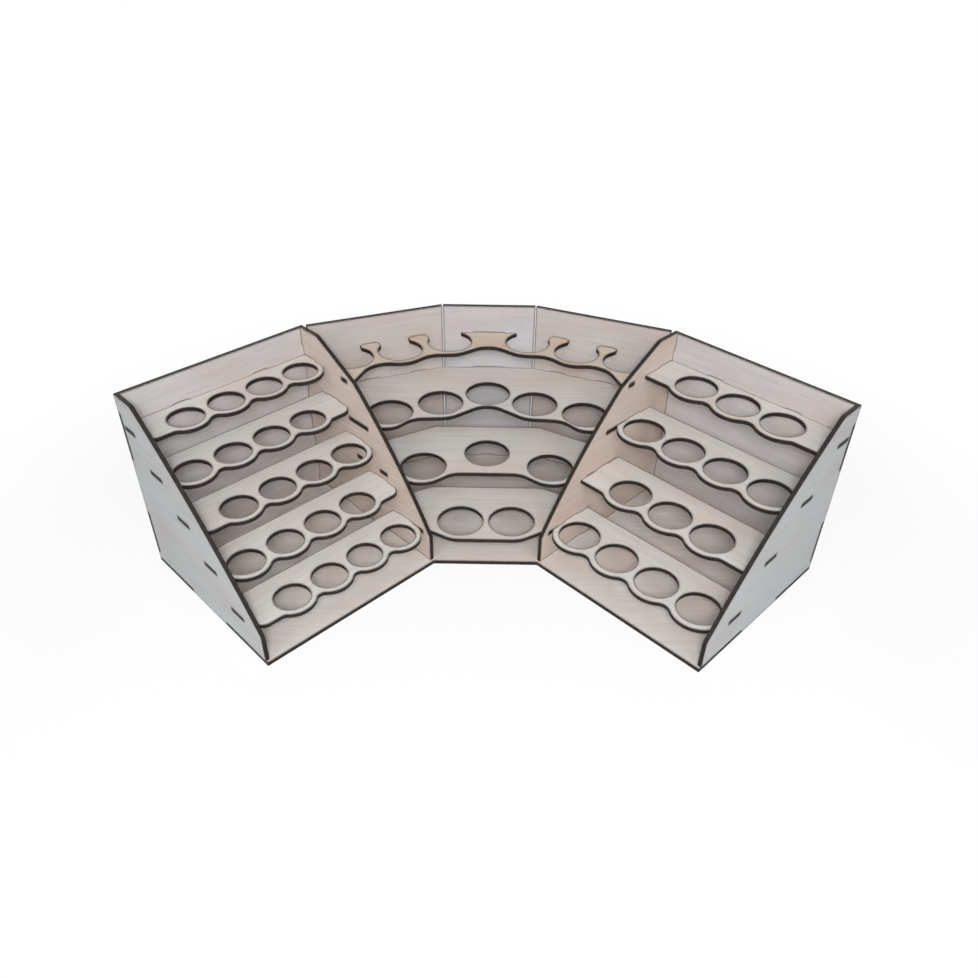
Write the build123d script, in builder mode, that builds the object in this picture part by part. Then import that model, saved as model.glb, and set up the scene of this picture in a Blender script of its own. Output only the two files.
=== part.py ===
from build123d import *
import math
import os

# Workstation organizer of laser-cut plywood: three bays of stepped bottle racks
# on one floor, the two outer bays turned towards the person at the desk.
# Origin: middle of the box round the whole part, on the underside of the floor.
# X runs to the right, Y to the back, Z up.  All sizes are millimetres.

# Boards and fits
ply = 3.0
fit = 0.1
height = 149.0

# Points closer together than this count as one
touch = 0.01

# Plan
wing_turn = 45.0
wing_width = 150.0
wing_depth = 150.0
middle_front = 80.0
middle_depth = 148.65
seam_half = 38.4
seam_gap = 0.8
facet_clear = 4.5

# Side boards, seen from the side
side_setback = 2.1
lip_height = 26.0
top_flat = 23.0
outer_bulge = 5.5
inner_bulge = 4.1
kink_depth = 84.0
kink_height = 125.6
top_round = 8.0
foot_start = 52.5
foot_length = 47.2

# Back boards
notch_length = 38.0
low_notch = 29.0
high_notch = 115.0
back_foot_length = 22.0
wing_foot_inset = 40.0
facet_foot_inset = 30.0
middle_foot_offset = 18.0

# Left bay: the smallest holes; margins run from a wall to the nearest hole centre,
# last_line from the rear edge of the floor to the rearmost row
left_rows = 5
left_radius = 13.0
left_near_margin = 17.6
left_far_margin = 32.8
left_rim = 4.6
left_valley = 5.0
left_first_line = 18.2
left_last_line = 23.4
left_level_step = 24.3
left_reach = 27.0
left_corner = 8.0
left_tab_start = 4.5
left_tab_length = 15.5
left_top_tab_length = 13.9

# Right bay: the middle-sized holes
right_rows = 4
right_radius = 15.6
right_margin = wing_width / 8
right_rim = 5.2
right_valley = 8.0
right_first_line = 24.3
right_last_line = 24.0
right_level_step = 32.3
right_reach = 31.2
right_tab_start = 4.0
right_tab_length = 14.5

# Middle bay: the largest holes
middle_radius = 17.5
middle_level_step = 32.3
first_level = 27.0
nose = 22.3
top_nose = 21.6

# Centres on the right half of the middle bay, from the middle of the front edge
fourth_x = 19.8
fourth_y = 18.5
third_x = 49.3
third_y = 45.5
third_centre = 64.4
second_near_x = 37.4
second_near_y = 87.2
second_far_x = 75.9
second_far_y = 71.9
second_centre = 102.5
top_near_x = 31.5
top_near_y = 129.4
top_mid_x = 70.3
top_mid_y = 113.5
top_far_x = 107.6
top_far_y = 99.1

# Room left round the bottles of the row below
fourth_clear = 18.3
third_clear = 18.5
second_clear = 20.2
centre_clear = 18.6

# Gaps between the uppermost shelf's bridges, along the slanted back from the seam
near_gap_start = -2.0
near_gap_end = 14.8
mid_gap_start = 30.7
mid_gap_end = 55.2
far_gap_start = 70.8
far_gap_end = 94.7
top_gap_half = 23.0

# Corner noses that are smaller than the others
third_nose = 21.0
third_nose_x = 50.5
third_nose_y = 44.2
second_nose = 16.0
second_nose_x = 78.0
second_nose_y = 65.0

# Where each middle shelf meets the inner sides, as depth along the side
top_meets = 87.0
second_meets = 68.0
third_meets = 40.0
fourth_meets = 9.5
third_back = 102.7
third_back_half = 43.0
third_back_meets = 93.5
fourth_back = 62.0
fourth_back_half = 45.0
fourth_back_meets = 58.6

# Tabs of the middle shelves in the inner sides: start and length along the side
top_tab_start = 92.0
top_tab_length = 6.4
second_tab_start = 70.0
second_tab_length = 23.0
third_tab_start = 50.0
third_tab_length = 8.5
third_rear_tab_start = 77.5
third_rear_tab_length = 9.3
fourth_tab_start = 10.0
fourth_tab_length = 10.5

# Tabs in the back boards
back_tab = 12.0
centre_tab = 25.0
wing_tab_inset = 40.0
near_facet_tab = 22.7
far_facet_tab = 63.0

# Points and tabs as pairs, right half of the middle bay
fourth_holes = [(fourth_x, fourth_y)]
third_holes = [(third_x, third_y)]
second_holes = [(second_near_x, second_near_y), (second_far_x, second_far_y)]
top_holes = [(top_near_x, top_near_y), (top_mid_x, top_mid_y), (top_far_x, top_far_y)]
top_gaps = [(near_gap_start, near_gap_end), (mid_gap_start, mid_gap_end), (far_gap_start, far_gap_end)]
top_side_tabs = [(top_tab_start, top_tab_length)]
second_side_tabs = [(second_tab_start, second_tab_length)]
third_side_tabs = [
    (third_tab_start, third_tab_length),
    (third_rear_tab_start, third_rear_tab_length),
]
fourth_side_tabs = [(fourth_tab_start, fourth_tab_length)]
facet_tabs = [near_facet_tab, far_facet_tab]
inner_bend = (kink_depth, kink_height)
notch_heights = [low_notch, high_notch]

# Frames of the three bays
turn = math.radians(wing_turn)
across = math.cos(turn)
along = math.sin(turn)
front_y = (wing_width * along - middle_depth) / 2
back_y = front_y + middle_depth
half_front = middle_front / 2
wing_span = wing_width + wing_depth
left_frame = Plane(
    origin=(-half_front - wing_width * across, front_y - wing_width * along, 0),
    x_dir=(across, along, 0),
    z_dir=(0, 0, 1),
)
right_frame = Plane(
    origin=(half_front, front_y, 0), x_dir=(across, -along, 0), z_dir=(0, 0, 1)
)
middle_frame = Plane(origin=(0, front_y, 0), x_dir=(1, 0, 0), z_dir=(0, 0, 1))

# Clear width of each bay along its own front
left_inside = (ply, wing_width - ply / 2)
right_inside = (ply / 2, wing_width - ply)
back_line = wing_depth - ply

# Pitches: four holes across a bay, rows from near the front to near the back
left_span = left_inside[1] - left_inside[0] - left_near_margin - left_far_margin
left_pitch = left_span / 3
right_pitch = (right_inside[1] - right_inside[0] - 2 * right_margin) / 3
left_line_step = (wing_depth - left_last_line - left_first_line) / (left_rows - 1)
right_line_step = (wing_depth - right_last_line - right_first_line) / (right_rows - 1)

# Slanted back boards of the middle bay
inner_rear_x = half_front + wing_depth * along
inner_rear_y = wing_depth * across
slant = math.atan2(middle_depth - inner_rear_y, inner_rear_x - seam_half)
facet_length = math.hypot(inner_rear_x - seam_half, middle_depth - inner_rear_y)
facet_end = facet_length - facet_clear

level_left = [first_level + left_level_step * k for k in range(left_rows)]
level_right = [first_level + right_level_step * k for k in range(right_rows)]
level_middle = [first_level + middle_level_step * k for k in range(4)]
line_left = [left_first_line + left_line_step * k for k in range(left_rows)]
line_right = [right_first_line + right_line_step * k for k in range(right_rows)]


def left_centres(row):
    # Rows counted from the bottom; even and odd rows start at opposite sides.
    if row % 2 == 0:
        start = left_inside[0] + left_far_margin
    else:
        start = left_inside[0] + left_near_margin
    return [start + left_pitch * k for k in range(4)]


def right_centres(row):
    # Four holes in the lowest row and every second row above it, three between.
    count = 4 if row % 2 == 0 else 3
    middle = (right_inside[0] + right_inside[1]) / 2
    return [middle + right_pitch * (k - (count - 1) / 2) for k in range(count)]


def side_wall(depth):
    # Point on the inner side's face towards the middle bay, right half.
    reach_x = half_front - ply / 2 * across + depth * along
    return (reach_x, ply / 2 * along + depth * across)


def cross(p, u, q, v):
    # Crossing of the line from p along u with the line from q along v.
    scale = u[0] * v[1] - u[1] * v[0]
    step = ((q[0] - p[0]) * v[1] - (q[1] - p[1]) * v[0]) / scale
    return (p[0] + u[0] * step, p[1] + u[1] * step)


def belt(stations):
    # Edge drawn like a belt from the first point to the last: it passes in front
    # of circles with a positive radius and behind those with a negative one.
    angles = []
    for (x1, y1, r1), (x2, y2, r2) in zip(stations, stations[1:]):
        gap = math.hypot(x2 - x1, y2 - y1)
        lean = math.asin(max(-1.0, min(1.0, (r2 - r1) / gap)))
        angles.append(math.atan2(y2 - y1, x2 - x1) - lean)
    at = stations[0][:2]
    for k in range(1, len(stations)):
        x, y, r = stations[k]
        come = angles[k - 1]
        reach = (x + r * math.sin(come), y - r * math.cos(come))
        Line(at, reach)
        at = reach
        if k < len(stations) - 1:
            leave = angles[k]
            mean = (come + leave) / 2
            over = (x + r * math.sin(mean), y - r * math.cos(mean))
            away = (x + r * math.sin(leave), y - r * math.cos(leave))
            ThreePointArc(at, over, away)
            at = away


def wing_edge(centres, line, lobe, valley, inside, rear, corner):
    # Outline points of one wing shelf, walked from the left wall to the right.
    pitch = centres[1] - centres[0]
    drop = math.sqrt((lobe + valley) ** 2 - (pitch / 2) ** 2)
    share = lobe / (lobe + valley)
    side = math.asin(pitch / 2 * share / lobe)
    low = line - drop + valley
    at = (inside[0], rear)

    first = centres[0] - inside[0]
    if first <= lobe + touch:
        begin = math.asin(min(1.0, first / lobe))
        go = (inside[0], line - lobe * math.cos(begin))
        Line(at, go)
        at = go
    else:
        begin = side
        if corner:
            knee = (inside[0], low + corner)
            Line(at, knee)
            turn_x = inside[0] + corner * (1 - math.sqrt(0.5))
            turn_y = low + corner * (1 - math.sqrt(0.5))
            ThreePointArc(knee, (turn_x, turn_y), (inside[0] + corner, low))
            at = (inside[0] + corner, low)
        else:
            Line(at, (inside[0], low))
            at = (inside[0], low)
        flat = (centres[0] - pitch / 2, low)
        Line(at, flat)
        centre = (centres[0] - pitch / 2, low - valley)
        bend = (centre[0] + valley * math.sin(side / 2), centre[1] + valley * math.cos(side / 2))
        stop = (centre[0] + valley * math.sin(side), centre[1] + valley * math.cos(side))
        ThreePointArc(flat, bend, stop)
        at = stop

    for k, x in enumerate(centres):
        end = side
        if k == len(centres) - 1 and inside[1] - x <= lobe + touch:
            end = math.asin(min(1.0, (inside[1] - x) / lobe))
        mean = (end - begin) / 2
        over = (x + lobe * math.sin(mean), line - lobe * math.cos(mean))
        stop = (x + lobe * math.sin(end), line - lobe * math.cos(end))
        ThreePointArc(at, over, stop)
        at = stop
        if k < len(centres) - 1:
            begin = side
            stop = (centres[k + 1] - lobe * math.sin(side), at[1])
            ThreePointArc(at, (x + pitch / 2, low), stop)
            at = stop

    last = centres[-1]
    if inside[1] - last > lobe + touch:
        centre = (last + pitch / 2, low - valley)
        bend = (centre[0] - valley * math.sin(side / 2), centre[1] + valley * math.cos(side / 2))
        ThreePointArc(at, bend, (centre[0], low))
        if corner:
            Line((centre[0], low), (inside[1] - corner, low))
            turn_x = inside[1] - corner * (1 - math.sqrt(0.5))
            turn_y = low + corner * (1 - math.sqrt(0.5))
            ThreePointArc((inside[1] - corner, low), (turn_x, turn_y), (inside[1], low + corner))
            at = (inside[1], low + corner)
        else:
            Line((centre[0], low), (inside[1], low))
            at = (inside[1], low)
    Line(at, (inside[1], rear))
    Line((inside[1], rear), (inside[0], rear))


def side_board(name, frame, u, bulge, bend, slots):
    # One upright side standing on the floor, drawn in its own plane.  Its front
    # rises in a shallow arc to the bend, and from there straight to the flat top.
    plane = Plane(origin=frame.from_local_coords((u, 0, 0)), x_dir=frame.y_dir, z_dir=frame.x_dir)
    top_front = wing_depth - top_flat
    end = bend if bend else (top_front, height)
    run = math.hypot(end[0] - side_setback, end[1] - lip_height)
    mid_d = (side_setback + end[0]) / 2 - bulge * (end[1] - lip_height) / run
    mid_z = (lip_height + end[1]) / 2 + bulge * (end[0] - side_setback) / run
    with BuildPart() as board:
        with BuildSketch(plane):
            with BuildLine():
                Polyline((top_front, height), (wing_depth, height), (wing_depth, ply), (side_setback, ply))
                Line((side_setback, ply), (side_setback, lip_height))
                ThreePointArc((side_setback, lip_height), (mid_d, mid_z), end)
                if bend:
                    Line(end, (top_front, height))
            make_face()
        extrude(amount=ply)
        round_edges = board.edges().filter_by(lambda e: is_knee(e, frame, top_front))
        fillet(round_edges, radius=top_round)
        with BuildSketch(plane):
            with Locations((foot_start + foot_length / 2, ply / 2)):
                Rectangle(foot_length, ply)
        extrude(amount=ply)
        with BuildSketch(plane):
            for z in notch_heights:
                with Locations((wing_depth - ply / 2, z)):
                    Rectangle(ply, notch_length + 2 * fit)
            for start, length, z in slots:
                with Locations((start + length / 2, z)):
                    Rectangle(length + 2 * fit, ply + 2 * fit)
        extrude(amount=ply, mode=Mode.SUBTRACT)
    board.part.label = name
    export_step(board.part, f"parts/{name}.step")


def is_knee(edge, frame, depth):
    # The upright board's short edge where the slope meets the flat top.
    spot = frame.to_local_coords(edge.center())
    return abs(spot.Y - depth) < touch and abs(spot.Z - height) < touch


def wing_back(name, frame, inside):
    # Back of a wing between its two sides, with feet and side tabs.
    plane = Plane(
        origin=frame.from_local_coords((0, wing_depth, 0)), x_dir=frame.x_dir, z_dir=-frame.y_dir
    )
    width = inside[1] - inside[0]
    middle = (inside[0] + inside[1]) / 2
    with BuildPart() as board:
        with BuildSketch(plane):
            with Locations((middle, (height + ply) / 2)):
                Rectangle(width, height - ply)
            for u in (inside[0] + wing_foot_inset, inside[1] - wing_foot_inset):
                with Locations((u, ply / 2)):
                    Rectangle(back_foot_length, ply)
            for z in notch_heights:
                with Locations((middle, z)):
                    Rectangle(width + 2 * ply, notch_length)
        extrude(amount=ply)
        with BuildSketch(plane):
            for u in (inside[0] + wing_tab_inset, inside[1] - wing_tab_inset):
                with Locations((u, top_level(frame))):
                    Rectangle(back_tab + 2 * fit, ply + 2 * fit)
        extrude(amount=ply, mode=Mode.SUBTRACT)
    board.part.label = name
    export_step(board.part, f"parts/{name}.step")


def top_level(frame):
    # Height of the uppermost shelf of a wing.
    return level_left[-1] if frame is left_frame else level_right[-1]


def facet_plane(side, z):
    # Plane along the outer face of a slanted back, flat at height z.
    return Plane(
        origin=(side * seam_half, back_y, z),
        x_dir=(math.cos(slant), -side * math.sin(slant), 0),
        z_dir=(0, 0, 1),
    )


def slanted_back(name, side):
    # Slanted back board of the middle bay; side is -1 on the left, 1 on the right.
    plane = Plane(
        origin=(side * seam_half, back_y, 0),
        x_dir=(math.cos(slant), -side * math.sin(slant), 0),
        z_dir=(-side * math.sin(slant), -math.cos(slant), 0),
    )
    with BuildPart() as board:
        with BuildSketch(plane):
            with Locations((side * (seam_gap + facet_end) / 2, (height + ply) / 2)):
                Rectangle(facet_end - seam_gap, height - ply)
            for s in (facet_foot_inset, facet_length - facet_foot_inset):
                with Locations((side * s, ply / 2)):
                    Rectangle(back_foot_length, ply)
        extrude(amount=ply)
        with BuildSketch(plane):
            for z in level_middle[2:]:
                for s in facet_tabs:
                    with Locations((side * s, z)):
                        Rectangle(back_tab + 2 * fit, ply + 2 * fit)
        extrude(amount=ply, mode=Mode.SUBTRACT)
    board.part.label = name
    export_step(board.part, f"parts/{name}.step")


def bay_shelf(name, frame, z, centres, line, sizes, inside, rear, corner, tab, behind):
    # One shelf of a wing: scalloped front, round holes, tabs through both sides.
    radius, rim, valley = sizes
    plane = Plane(origin=frame.from_local_coords((0, 0, z - ply / 2)), x_dir=frame.x_dir, z_dir=(0, 0, 1))
    with BuildPart() as shelf:
        with BuildSketch(plane):
            with BuildLine():
                wing_edge(centres, line, radius + rim, valley, inside, rear, corner)
            make_face()
            for u in (inside[0] - ply / 2, inside[1] + ply / 2):
                with Locations((u, line + tab[0] + tab[1] / 2)):
                    Rectangle(ply, tab[1])
            for u in behind:
                with Locations((u, wing_depth - ply / 2)):
                    Rectangle(back_tab, ply)
            for u in centres:
                with Locations((u, line)):
                    Circle(radius, mode=Mode.SUBTRACT)
        extrude(amount=ply)
    shelf.part.label = name
    export_step(shelf.part, f"parts/{name}.step")


def facet_depth(x, y):
    # Distance of a point on the right half from the slanted back's outer face.
    return (seam_half - x) * math.sin(slant) + (middle_depth - y) * math.cos(slant)


top_depths = [facet_depth(x, y) for x, y in top_holes]


def mirrored(points):
    # The same points on the left half, followed by the right half.
    return [(-x, *rest) for x, *rest in reversed(points)] + [(x, *rest) for x, *rest in points]


def middle_shelf(name, z, front, rear, holes, side_tabs, behind, gaps=()):
    # One shelf of the middle bay, drawn from its right half.
    low_plane = Plane(origin=(0, front_y, z - ply / 2), x_dir=(1, 0, 0), z_dir=(0, 0, 1))
    with BuildPart() as shelf:
        with BuildSketch(low_plane):
            with BuildLine():
                belt(front)
                Polyline(front[-1][:2], *rear, front[0][:2])
            make_face()
            for x, y in holes:
                with Locations((x, y)):
                    Circle(middle_radius, mode=Mode.SUBTRACT)
        extrude(amount=ply)
        for side in (-1, 1) if gaps else ():
            with BuildSketch(facet_plane(side, z - ply / 2)):
                for (start, stop), hole in zip(gaps, top_depths):
                    with Locations((side * (start + stop) / 2, -hole / 2)):
                        Rectangle(stop - start, hole)
            extrude(amount=ply, mode=Mode.SUBTRACT)
            with BuildSketch(low_plane):
                with Locations((side * (top_gap_half + seam_half) / 2, (top_holes[0][1] + middle_depth) / 2)):
                    Rectangle(seam_half - top_gap_half, middle_depth - top_holes[0][1])
            extrude(amount=ply, mode=Mode.SUBTRACT)
        for frame, u in ((left_frame, wing_width), (right_frame, 0)):
            tab_plane = Plane(
                origin=frame.from_local_coords((u, 0, z - ply / 2)), x_dir=frame.x_dir, z_dir=(0, 0, 1)
            )
            with BuildSketch(tab_plane):
                for start, length in side_tabs:
                    with Locations((0, start + length / 2)):
                        Rectangle(ply, length)
            extrude(amount=ply)
        if behind:
            with BuildSketch(low_plane):
                with Locations((0, middle_depth - ply / 2)):
                    Rectangle(centre_tab, ply)
            extrude(amount=ply)
            for side in (-1, 1):
                with BuildSketch(facet_plane(side, z - ply / 2)):
                    for s in facet_tabs:
                        with Locations((side * s, -ply / 2)):
                            Rectangle(back_tab, ply)
                extrude(amount=ply)
    shelf.part.label = name
    export_step(shelf.part, f"parts/{name}.step")


os.makedirs("parts", exist_ok=True)

# Floor: one board under all three bays
with BuildPart() as floor:
    with BuildSketch():
        with BuildLine():
            edge = [
                (half_front, front_y),
                (half_front + wing_width * across, front_y - wing_width * along),
                (half_front + wing_span * across, front_y + (wing_depth - wing_width) * along),
                (inner_rear_x, front_y + inner_rear_y),
                (seam_half, back_y),
            ]
            Polyline(*edge, *[(-x, y) for x, y in reversed(edge)], close=True)
        make_face()
    extrude(amount=ply)
    for frame, places in (
        (left_frame, (ply / 2, wing_width)),
        (right_frame, (0, wing_width - ply / 2)),
    ):
        with BuildSketch(frame):
            for u in places:
                with Locations((u, foot_start + foot_length / 2)):
                    Rectangle(ply + 2 * fit, foot_length + 2 * fit)
        extrude(amount=ply, mode=Mode.SUBTRACT)
    for frame, inside in ((left_frame, left_inside), (right_frame, right_inside)):
        with BuildSketch(frame):
            for u in (inside[0] + wing_foot_inset, inside[1] - wing_foot_inset):
                with Locations((u, wing_depth - ply / 2)):
                    Rectangle(back_foot_length + 2 * fit, ply + 2 * fit)
        extrude(amount=ply, mode=Mode.SUBTRACT)
    for side in (-1, 1):
        with BuildSketch(facet_plane(side, 0)):
            for s in (facet_foot_inset, facet_length - facet_foot_inset):
                with Locations((side * s, -ply / 2)):
                    Rectangle(back_foot_length + 2 * fit, ply + 2 * fit)
        extrude(amount=ply, mode=Mode.SUBTRACT)
    with BuildSketch(middle_frame):
        for x in (-middle_foot_offset, middle_foot_offset):
            with Locations((x, middle_depth - ply / 2)):
                Rectangle(back_foot_length + 2 * fit, ply + 2 * fit)
    extrude(amount=ply, mode=Mode.SUBTRACT)
floor.part.label = "floor"
export_step(floor.part, "parts/floor.step")

# Slots in the sides: start along the side, length, height
left_slots = []
for z, line in zip(level_left, line_left):
    length = left_top_tab_length if z == level_left[-1] else left_tab_length
    left_slots.append((line + left_tab_start, length, z))
right_slots = [(line + right_tab_start, right_tab_length, z) for z, line in zip(level_right, line_right)]
middle_tabs = [fourth_side_tabs, third_side_tabs, second_side_tabs, top_side_tabs]
middle_slots = [(*tab, z) for z, tabs in zip(level_middle, middle_tabs) for tab in tabs]

side_board("outer_side_left", left_frame, 0, outer_bulge, None, left_slots)
side_board(
    "inner_side_left",
    left_frame,
    wing_width - ply / 2,
    inner_bulge,
    inner_bend,
    left_slots + middle_slots,
)
side_board(
    "inner_side_right",
    right_frame,
    -ply / 2,
    inner_bulge,
    inner_bend,
    right_slots + middle_slots,
)
side_board(
    "outer_side_right", right_frame, wing_width - ply, outer_bulge, None, right_slots
)

wing_back("back_left", left_frame, left_inside)
wing_back("back_right", right_frame, right_inside)
slanted_back("back_slanted_left", -1)
slanted_back("back_slanted_right", 1)

# Middle back, between the two slanted ones
middle_plane = Plane(origin=(0, back_y, 0), x_dir=(1, 0, 0), z_dir=(0, -1, 0))
with BuildPart() as back_middle:
    with BuildSketch(middle_plane):
        with Locations((0, (height + ply) / 2)):
            Rectangle(2 * (seam_half - seam_gap), height - ply)
        for x in (-middle_foot_offset, middle_foot_offset):
            with Locations((x, ply / 2)):
                Rectangle(back_foot_length, ply)
    extrude(amount=ply)
    with BuildSketch(middle_plane):
        for z in level_middle[2:]:
            with Locations((0, z)):
                Rectangle(centre_tab + 2 * fit, ply + 2 * fit)
    extrude(amount=ply, mode=Mode.SUBTRACT)
back_middle.part.label = "back_middle"
export_step(back_middle.part, "parts/back_middle.step")

# Left bay shelves, numbered from the bottom
for k in range(left_rows):
    top = k == left_rows - 1
    bay_shelf(
        f"shelf_left_{k + 1}",
        left_frame,
        level_left[k],
        left_centres(k),
        line_left[k],
        (left_radius, left_rim, left_valley),
        left_inside,
        back_line if top else line_left[k] + left_reach,
        left_corner,
        (left_tab_start, left_top_tab_length if top else left_tab_length),
        (left_inside[0] + wing_tab_inset, left_inside[1] - wing_tab_inset) if top else (),
    )

# Right bay shelves
for k in range(right_rows):
    top = k == right_rows - 1
    bay_shelf(
        f"shelf_right_{k + 1}",
        right_frame,
        level_right[k],
        right_centres(k),
        line_right[k],
        (right_radius, right_rim, right_valley),
        right_inside,
        back_line if top else line_right[k] + right_reach,
        0,
        (right_tab_start, right_tab_length),
        (right_inside[0] + wing_tab_inset, right_inside[1] - wing_tab_inset) if top else (),
    )

# Rear corners of the two upper middle shelves, against the three back boards
seam = (seam_half - ply * math.tan(slant / 2), middle_depth - ply)
wall_start = side_wall(0)
wall_line = (along, across)
rear_corner = cross(seam, (math.cos(slant), -math.sin(slant)), wall_start, wall_line)
rear_walk = [rear_corner, seam, (-seam[0], seam[1]), (-rear_corner[0], rear_corner[1])]


def free_back(y, half, meets):
    # Rear edge that stays clear of the back boards, right side first.
    far = side_wall(meets)
    return [far, (half, y), (-half, y), (-far[0], far[1])]


middle_shelf(
    "shelf_middle_1",
    level_middle[0],
    mirrored([(x, y, nose) for x, y in fourth_holes] + [(*side_wall(fourth_meets), 0)]),
    free_back(fourth_back, fourth_back_half, fourth_back_meets),
    mirrored(fourth_holes),
    fourth_side_tabs,
    False,
)
middle_shelf(
    "shelf_middle_2",
    level_middle[1],
    mirrored(
        [(x, y, -fourth_clear) for x, y in fourth_holes]
        + [(third_nose_x, third_nose_y, third_nose), (*side_wall(third_meets), 0)]
    ),
    free_back(third_back, third_back_half, third_back_meets),
    [(0, third_centre)] + mirrored(third_holes),
    third_side_tabs,
    False,
)
second_front = [(*second_holes[0], nose), (*third_holes[0], -third_clear)]
second_front += [(second_nose_x, second_nose_y, second_nose), (*side_wall(second_meets), 0)]
second_path = mirrored(second_front)
second_path.insert(len(second_front), (0, third_centre, -third_clear))
middle_shelf(
    "shelf_middle_3",
    level_middle[2],
    second_path,
    rear_walk,
    [(0, second_centre)] + mirrored(second_holes),
    second_side_tabs,
    True,
)
top_front = [(*top_holes[0], top_nose), (*second_holes[0], -second_clear), (*top_holes[1], top_nose)]
top_front += [(*second_holes[1], -second_clear), (*side_wall(top_meets), 0)]
top_path = mirrored(top_front)
top_path.insert(len(top_front), (0, second_centre, -centre_clear))
middle_shelf(
    "shelf_middle_4",
    level_middle[3],
    top_path,
    rear_walk,
    mirrored(top_holes),
    top_side_tabs,
    True,
    top_gaps,
)
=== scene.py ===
"""Looks, room, lamps and camera of the hobby workstation organizer, in metres."""

import math
from collections import namedtuple

import bpy
from mathutils import Matrix, Vector

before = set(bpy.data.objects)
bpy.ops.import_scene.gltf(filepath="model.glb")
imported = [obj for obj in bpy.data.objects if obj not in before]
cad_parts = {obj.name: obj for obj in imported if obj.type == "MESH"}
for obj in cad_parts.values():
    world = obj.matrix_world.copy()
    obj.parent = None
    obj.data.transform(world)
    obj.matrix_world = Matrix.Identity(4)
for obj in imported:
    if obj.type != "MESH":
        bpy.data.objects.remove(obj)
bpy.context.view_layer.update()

# Plan of the part: two square wings, turned by TURN, stand beside the middle bay.
# Its slanted backs run from the wings' rear corners to the seams of the middle back.
TURN = math.radians(45)
COS, SIN = math.cos(TURN), math.sin(TURN)
WING = 0.150
MIDDLE_FRONT = 0.080
MIDDLE_DEPTH = 0.14865
SEAM_X = 0.0384
FRONT_Y = (WING * SIN - MIDDLE_DEPTH) / 2
SLANT = math.atan2(MIDDLE_DEPTH - WING * COS, MIDDLE_FRONT / 2 + WING * SIN - SEAM_X)

# Directions of the boards: U runs along a bay's width and D towards its back
UP = Vector((0, 0, 1))
X = Vector((1, 0, 0))
Y = Vector((0, 1, 0))
LEFT_U = Vector((COS, SIN, 0))
LEFT_D = Vector((-SIN, COS, 0))
RIGHT_U = Vector((COS, -SIN, 0))
RIGHT_D = Vector((SIN, COS, 0))
FACET_LEFT = Vector((math.cos(SLANT), math.sin(SLANT), 0))
FACET_RIGHT = Vector((math.cos(SLANT), -math.sin(SLANT), 0))

# Tones of the bare faces and the burnt edges, in sRGB of 0 to 255; the board tones hold painted
# light and shade
# One plywood is toned board by board to look as it does under the light: lighter shelves; darker,
# greyer outer sides, backs and facets; a darker middle back to offset the lamps that fall on it
# head-on; warmer pink inner sides, partly the wood's tone and partly painted warm bounce light
SHELF_LIT_TONE = (209, 205, 201)
SMOKED = (207, 195, 181)
OUTER_SHADED_TONE = (184, 187, 188)
INNER_BOUNCE_TONE = (202, 188, 178)
BACK_SHADED_TONE = (188, 184, 183)
FACET_SHADED_TONE = (186, 180, 177)
CENTRE_SHADED_TONE = (186, 184, 186)
GROUND = (206, 201, 197)
BURNT = (24, 20, 18)
BURNT_PALE = (46, 38, 34)

# Marks in the wood.  Each is a noise with its fineness along the grain, across it and
# through the board, its scale, detail, roughness and distortion, the levels between
# which it comes in, its strength, how much warmth adds to that, and what it leaves of
# the face's red, green and blue.
Mark = namedtuple("Mark", "fineness noise levels strength warming left")
STREAK = Mark((4.0, 62.0, 1.0), (6.0, 5, 0.6, 0.35), (0.36, 0.72), 0.55, 0.0, (0.90, 0.90, 0.90))
FIBRE = Mark((14.0, 260.0, 1.0), (7.0, 3, 0.6, 0.0), (0.50, 0.75), 0.13, 0.0, (0.78, 0.78, 0.78))
CLOUD = Mark((9.0, 22.0, 1.0), (1.6, 3, 0.5, 0.0), (0.42, 0.72), 0.55, 1.0, (0.98, 0.915, 0.89))
SPECK = Mark((1.0, 1.0, 1.0), (900.0, 2, 0.6, 0.0), (0.56, 0.75), 0.16, 0.0, (0.72, 0.72, 0.72))
SEED_STEP = (0.37, 0.91, 0.13)

# Smoke halo around each cut: its reach, and the same values as for a mark
HALO_RADIUS = 0.0060
HALO_LEVELS = (0.0, 0.30)
HALO_STRENGTH = 0.12
HALO_WARMING = 0.3
HALO_LEFT = (0.93, 0.85, 0.76)

# Burnt rim beside each cut, and the charred cut faces
BEVEL_SAMPLES = 6
RIM_RADIUS = 0.0026
RIM_LEVELS = (0.01, 0.06)
RIM_STRENGTH = 0.85
CUT_LEVELS = (0.45, 0.75)
CHAR_NOISE = (420.0, 3, 0.6, 0.0)
CHAR_LEVELS = (0.35, 0.75)

ROUGHNESS = 0.72
SPECULAR = 0.25
BUMP_STRENGTH = 0.12
BUMP_DEPTH = 0.0002

# Each upright board and the floor: grain direction, direction across it, face tone with its painted
# light and shade, warmth
# Warmth on the inner sides, backs and facets deepens the warm clouds and smoke halo as painted warm
# shade inside the bays
BOARDS = {
    "floor": (X, Y, GROUND, 0.0),
    "outer_side_left": (LEFT_D, UP, OUTER_SHADED_TONE, 0.0),
    "inner_side_left": (LEFT_D, UP, INNER_BOUNCE_TONE, 0.1),
    "inner_side_right": (RIGHT_D, UP, INNER_BOUNCE_TONE, 0.1),
    "outer_side_right": (RIGHT_D, UP, OUTER_SHADED_TONE, 0.0),
    "back_left": (LEFT_U, UP, BACK_SHADED_TONE, 0.1),
    "back_right": (RIGHT_U, UP, BACK_SHADED_TONE, 0.1),
    "back_middle": (X, UP, CENTRE_SHADED_TONE, 0.0),
    "back_slanted_left": (FACET_LEFT, UP, FACET_SHADED_TONE, 0.1),
    "back_slanted_right": (FACET_RIGHT, UP, FACET_SHADED_TONE, 0.1),
}
SHELVES = {"left": 5, "middle": 4, "right": 4}
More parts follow.
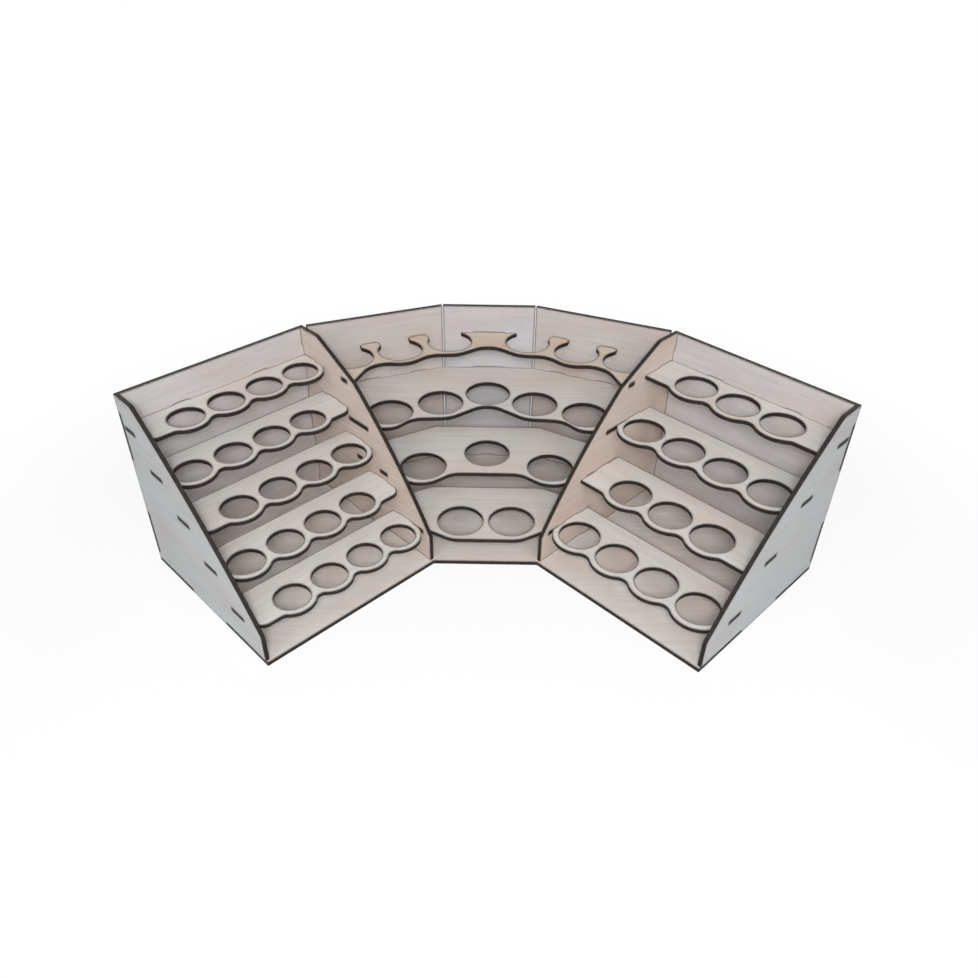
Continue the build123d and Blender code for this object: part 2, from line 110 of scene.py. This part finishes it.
GRAIN = {"left": (LEFT_U, LEFT_D), "middle": (X, Y), "right": (RIGHT_U, RIGHT_D)}
SMOKED_SHELF = "shelf_middle_4"
SMOKED_WARMTH = 0.35
LAST_BOARD_SEED = 20

# Room: a pale floor that turns white away from the part
FLOOR_REACH = 3.0
FLOOR_DROP = 0.0002
FLOOR_GREY = 0.86
NEAR_WHITE = 0.80
WHITE_FROM, WHITE_TO = 0.28, 0.50
SKY_TINT = (0.97, 0.98, 1.0, 1)
SKY_STRENGTH = 0.22
WHITE = (1, 1, 1, 1)

# Each lamp: place, what it points at, side of the square, watts
LAMPS = {
    "fill": ((0, -0.80, 0.665), (0, 0, 0.06), 0.2, 4.3),
    "near": ((0, -0.55, 0.48), (0, 0, 0.06), 0.1, 1.45),
    "left": ((-0.45, -0.68, 0.68), (0, 0, 0.05), 0.4, 2.1),
    "right": ((0.45, -0.68, 0.68), (0, 0, 0.05), 0.4, 2.1),
    "top": ((0.1, 0.15, 1.4), (0, 0, 0.05), 1.2, 1.0),
    "rear_left": ((-0.7, 1.1, 0.30), (0, 0, 0.08), 0.6, 5.0),
    "rear_right": ((0.7, 1.1, 0.30), (0, 0, 0.08), 0.6, 5.0),
}

# Camera, from a pinhole fit to the part's corners in the photograph
EYE = (0.001574, FRONT_Y - 0.49306, 0.44499)
PITCH, YAW, ROLL = (math.radians(angle) for angle in (37.003, 0.047, 0.89))
FOCAL_PIXELS = 849.66
PHOTO_PIXELS = 978
SENSOR = 36.0
CLIP_NEAR, CLIP_FAR = 0.01, 20

# Sockets of the colour mix node: factor, first and second colour, and the result
MIX_FACTOR, MIX_FIRST, MIX_SECOND, MIX_RESULT = 0, 6, 7, 2


def linear(tone):
    """An sRGB tone of 0 to 255 as linear RGBA."""
    out = []
    for channel in tone:
        share = channel / 255
        out.append(share / 12.92 if share <= 0.04045 else ((share + 0.055) / 1.055) ** 2.4)
    return (*out, 1)


def marked(face, left):
    """The face's tone where a mark leaves these shares of its red, green and blue."""
    return linear([channel * share for channel, share in zip(face, left)])


class Nodes:
    """Shorthand for wiring a node tree."""

    def __init__(self, tree):
        self.tree = tree

    def add(self, kind, **values):
        node = self.tree.nodes.new(kind)
        for key, value in values.items():
            setattr(node, key, value)
        return node

    def link(self, source, target):
        self.tree.links.new(source, target)

    def feed(self, socket, value):
        """Set a socket to a number or tuple, or link another node's output to it."""
        if isinstance(value, (int, float, tuple)):
            socket.default_value = value
        elif isinstance(value, Vector):
            socket.default_value = tuple(value)
        else:
            self.link(value, socket)

    def math(self, operation, *values):
        node = self.add("ShaderNodeMath", operation=operation)
        for socket, value in zip(node.inputs, values):
            self.feed(socket, value)
        return node.outputs[0]

    def vector(self, operation, *values):
        node = self.add("ShaderNodeVectorMath", operation=operation)
        for socket, value in zip(node.inputs, values):
            self.feed(socket, value)
        return node.outputs["Vector"]

    def measure(self, operation, *values):
        """A vector operation that gives one number, such as a length or a dot product."""
        node = self.add("ShaderNodeVectorMath", operation=operation)
        for socket, value in zip(node.inputs, values):
            self.feed(socket, value)
        return node.outputs["Value"]

    def mix(self, factor, first, second):
        node = self.add("ShaderNodeMix", data_type="RGBA")
        self.feed(node.inputs[MIX_FACTOR], factor)
        self.feed(node.inputs[MIX_FIRST], first)
        self.feed(node.inputs[MIX_SECOND], second)
        return node.outputs[MIX_RESULT]

    def ramp(self, value, low, high):
        """A smooth step from 0 at the low level to 1 at the high one."""
        node = self.add("ShaderNodeMapRange", interpolation_type="SMOOTHSTEP")
        for socket, number in zip(node.inputs, (value, low, high, 0, 1)):
            self.feed(socket, number)
        return node.outputs[0]

    def noise(self, place, scale, detail, rough, distort):
        node = self.add("ShaderNodeTexNoise", noise_dimensions="3D")
        self.link(place, node.inputs["Vector"])
        node.inputs["Scale"].default_value = scale
        node.inputs["Detail"].default_value = detail
        node.inputs["Roughness"].default_value = rough
        node.inputs["Distortion"].default_value = distort
        return node.outputs[0]

    def layer(self, base, pattern, levels, strength, tone):
        """Lay a tone over the base where the pattern rises from one level to another."""
        share = self.math("MULTIPLY", self.ramp(pattern, *levels), strength)
        return self.mix(share, base, tone)


def grain_place(n, grain, across, board, seed):
    """Where a point lies along the grain, across it and through the board."""
    coordinates = n.add("ShaderNodeTexCoord").outputs["Object"]
    join = n.add("ShaderNodeCombineXYZ")
    for socket, direction in zip(join.inputs, (grain, across, board)):
        n.link(n.measure("DOT_PRODUCT", coordinates, direction), socket)
    shift = tuple(step * seed for step in SEED_STEP)
    return n.vector("ADD", join.outputs[0], shift)


def edge_nearness(n, true_normal, radius):
    """How far a normal that is rounded over edges turns from the true one."""
    rounding = n.add("ShaderNodeBevel", samples=BEVEL_SAMPLES)
    rounding.inputs["Radius"].default_value = radius
    return n.math("SUBTRACT", 1.0, n.measure("DOT_PRODUCT", rounding.outputs[0], true_normal))


def mark_pattern(n, place, mark):
    return n.noise(n.vector("MULTIPLY", place, mark.fineness), *mark.noise)


def bare_wood(n, place, face, warm):
    """The sanded face: streaks, fibres, warm clouds and specks."""
    base = linear(face)
    for mark in (STREAK, FIBRE, CLOUD, SPECK):
        strength = mark.strength + mark.warming * warm
        tone = marked(face, mark.left)
        base = n.layer(base, mark_pattern(n, place, mark), mark.levels, strength, tone)
    return base


def burnt_share(n, true_normal, board):
    """1 on the cut faces, which stand square to the board, and less on the rims."""
    facing = n.math("ABSOLUTE", n.measure("DOT_PRODUCT", true_normal, board))
    cut = n.math("SUBTRACT", 1.0, n.ramp(facing, *CUT_LEVELS))
    rim = n.ramp(edge_nearness(n, true_normal, RIM_RADIUS), *RIM_LEVELS)
    return n.math("MAXIMUM", cut, n.math("MULTIPLY", rim, RIM_STRENGTH))


def plywood(name, grain, across, face, seed, warm):
    """Birch plywood cut by laser: grain runs along one direction, cut faces are burnt."""
    material = bpy.data.materials.new(name)
    material.use_nodes = True
    tree = material.node_tree
    n = Nodes(tree)
    shader = tree.nodes["Principled BSDF"]
    true_normal = n.add("ShaderNodeNewGeometry").outputs["True Normal"]
    board = grain.cross(across)
    place = grain_place(n, grain, across, board, seed)

    wood = bare_wood(n, place, face, warm)
    halo = edge_nearness(n, true_normal, HALO_RADIUS)
    halo_strength = HALO_STRENGTH + HALO_WARMING * warm
    wood = n.layer(wood, halo, HALO_LEVELS, halo_strength, marked(face, HALO_LEFT))
    patches = n.ramp(n.noise(place, *CHAR_NOISE), *CHAR_LEVELS)
    char = n.mix(patches, linear(BURNT), linear(BURNT_PALE))
    burnt = burnt_share(n, true_normal, board)
    n.link(n.mix(burnt, wood, char), shader.inputs["Base Color"])
    shader.inputs["Roughness"].default_value = ROUGHNESS
    shader.inputs["Specular IOR Level"].default_value = SPECULAR

    bump = n.add("ShaderNodeBump")
    bump.inputs["Strength"].default_value = BUMP_STRENGTH
    bump.inputs["Distance"].default_value = BUMP_DEPTH
    n.link(mark_pattern(n, place, FIBRE), bump.inputs["Height"])
    n.link(bump.outputs[0], shader.inputs["Normal"])
    return material


def dress(node, grain, across, face, seed, warm):
    """Give a board plywood of its own."""
    material = plywood("ply_" + node, grain, across, face, seed, warm)
    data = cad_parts[node].data
    if data.materials:
        for k in range(len(data.materials)):
            data.materials[k] = material
    else:
        data.materials.append(material)


def dress_boards():
    for seed, (node, (grain, across, face, warm)) in enumerate(BOARDS.items(), 1):
        dress(node, grain, across, face, seed, warm)


def dress_shelves():
    seed = LAST_BOARD_SEED
    for bay, count in SHELVES.items():
        grain, across = GRAIN[bay]
        for k in range(count):
            seed += 1
            node = f"shelf_{bay}_{k + 1}"
            face, warm = (SMOKED, SMOKED_WARMTH) if node == SMOKED_SHELF else (SHELF_LIT_TONE, 0.0)
            dress(node, grain, across, face, seed, warm)


def room_floor():
    """A pale floor under the part, which holds its shadow and fades to white."""
    corners = [(-1, -1), (1, -1), (1, 1), (-1, 1)]
    mesh = bpy.data.meshes.new("room_floor")
    mesh.from_pydata([(x * FLOOR_REACH, y * FLOOR_REACH, 0) for x, y in corners], [], [(0, 1, 2, 3)])
    ground = bpy.data.objects.new("room_floor", mesh)
    bpy.context.scene.collection.objects.link(ground)
    ground.location.z = -FLOOR_DROP
    material = bpy.data.materials.new("room_floor")
    material.use_nodes = True
    tree = material.node_tree
    tree.nodes.clear()
    n = Nodes(tree)
    diffuse = n.add("ShaderNodeBsdfDiffuse")
    diffuse.inputs["Color"].default_value = (FLOOR_GREY, FLOOR_GREY, FLOOR_GREY, 1)
    glow = n.add("ShaderNodeEmission")
    glow.inputs["Color"].default_value = WHITE
    glow.inputs["Strength"].default_value = 1.0
    path = n.add("ShaderNodeLightPath")
    seen = n.math("MAXIMUM", path.outputs["Is Camera Ray"], path.outputs["Is Glossy Ray"])
    place = n.add("ShaderNodeTexCoord").outputs["Object"]
    far = n.ramp(n.measure("LENGTH", place), WHITE_FROM, WHITE_TO)
    share = n.math("ADD", NEAR_WHITE, n.math("MULTIPLY", far, 1 - NEAR_WHITE))
    blend = n.add("ShaderNodeMixShader")
    n.link(n.math("MULTIPLY", seen, share), blend.inputs[0])
    n.link(diffuse.outputs[0], blend.inputs[1])
    n.link(glow.outputs[0], blend.inputs[2])
    out = n.add("ShaderNodeOutputMaterial")
    n.link(blend.outputs[0], out.inputs[0])
    mesh.materials.append(material)


def sky():
    """Soft light from all round, which the camera sees as plain white."""
    world = bpy.data.worlds.new("studio")
    bpy.context.scene.world = world
    world.use_nodes = True
    tree = world.node_tree
    tree.nodes.clear()
    n = Nodes(tree)
    soft = n.add("ShaderNodeBackground")
    soft.inputs["Color"].default_value = SKY_TINT
    soft.inputs["Strength"].default_value = SKY_STRENGTH
    white = n.add("ShaderNodeBackground")
    white.inputs["Color"].default_value = WHITE
    white.inputs["Strength"].default_value = 1.0
    path = n.add("ShaderNodeLightPath")
    seen = n.math("MAXIMUM", path.outputs["Is Camera Ray"], path.outputs["Is Glossy Ray"])
    seen = n.math("MAXIMUM", seen, path.outputs["Is Transmission Ray"])
    blend = n.add("ShaderNodeMixShader")
    n.link(seen, blend.inputs[0])
    n.link(soft.outputs[0], blend.inputs[1])
    n.link(white.outputs[0], blend.inputs[2])
    out = n.add("ShaderNodeOutputWorld")
    n.link(blend.outputs[0], out.inputs[0])


def lamp(name, place, target, size, watts):
    """A white square lamp that the camera doesn't see."""
    light = bpy.data.lights.new(name, "AREA")
    light.shape = "SQUARE"
    light.size = size
    light.energy = watts
    holder = bpy.data.objects.new(name, light)
    bpy.context.scene.collection.objects.link(holder)
    holder.location = place
    holder.visible_camera = False
    holder.rotation_euler = (Vector(target) - Vector(place)).to_track_quat("-Z", "Y").to_euler()


def camera():
    """The photograph's view."""
    level = math.cos(PITCH)
    forward = Vector((math.sin(YAW) * level, math.cos(YAW) * level, -math.sin(PITCH)))
    right = Vector((math.cos(YAW), -math.sin(YAW), 0))
    up = right.cross(forward)
    right_rolled = math.cos(ROLL) * right + math.sin(ROLL) * up
    up_rolled = -math.sin(ROLL) * right + math.cos(ROLL) * up
    data = bpy.data.cameras.new("camera")
    data.sensor_width = SENSOR
    data.lens = SENSOR * FOCAL_PIXELS / PHOTO_PIXELS
    data.clip_start = CLIP_NEAR
    data.clip_end = CLIP_FAR
    holder = bpy.data.objects.new("camera", data)
    bpy.context.scene.collection.objects.link(holder)
    turn = Matrix((right_rolled, up_rolled, -forward)).transposed()
    holder.matrix_world = Matrix.Translation(EYE) @ turn.to_4x4()
    bpy.context.scene.camera = holder


dress_boards()
dress_shelves()
room_floor()
sky()
for name, setting in LAMPS.items():
    lamp(name, *setting)
camera()
bpy.context.scene.view_settings.view_transform = "Standard"
